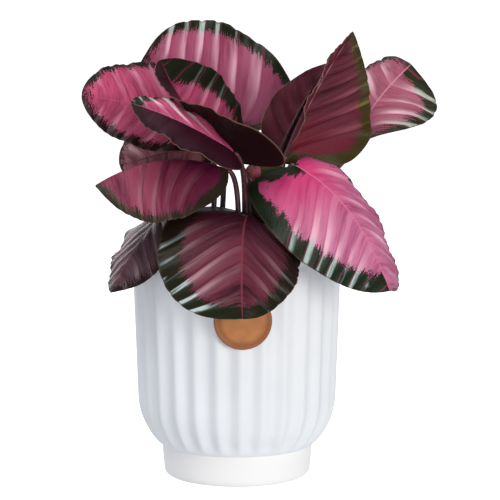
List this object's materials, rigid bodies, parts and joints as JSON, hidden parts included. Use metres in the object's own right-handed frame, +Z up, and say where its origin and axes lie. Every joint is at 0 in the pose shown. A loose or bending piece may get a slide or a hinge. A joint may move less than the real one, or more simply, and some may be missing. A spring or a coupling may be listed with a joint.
{
  "type": "potted pink star calathea",
  "caption": "Calathea with broad pink leaves and dark green margins, growing from the soil of a fluted white ceramic pot with a round leather tag.",
  "frame": {"origin": "centre of the pot's flat underside", "axes": "+Z up, -Y towards the front that carries the leather tag, +X to the right seen from the front"},
  "size_m": [0.2366, 0.1779, 0.2988],
  "materials": {
    "pot_ceramic": "satin",
    "soil": "matt, crumbly",
    "tag_leather": "matt",
    "leaf": "satin"
  },
  "bodies": {
    "root": {"pot": "pot_ceramic", "soil": "soil", "leather_tag": "tag_leather", "leaf_back_top": "leaf", "leaf_far_left": "leaf", "leaf_upper_folded": "leaf", "leaf_centre_left": "leaf", "leaf_upright_right": "leaf", "leaf_dark_back": "leaf", "leaf_far_right": "leaf", "leaf_front_right": "leaf", "leaf_front": "leaf", "leaf_left_hanging": "leaf", "leaf_left_back": "leaf", "leaf_low_left": "leaf", "leaf_small_crown": "leaf"}
  },
  "joints": []
}
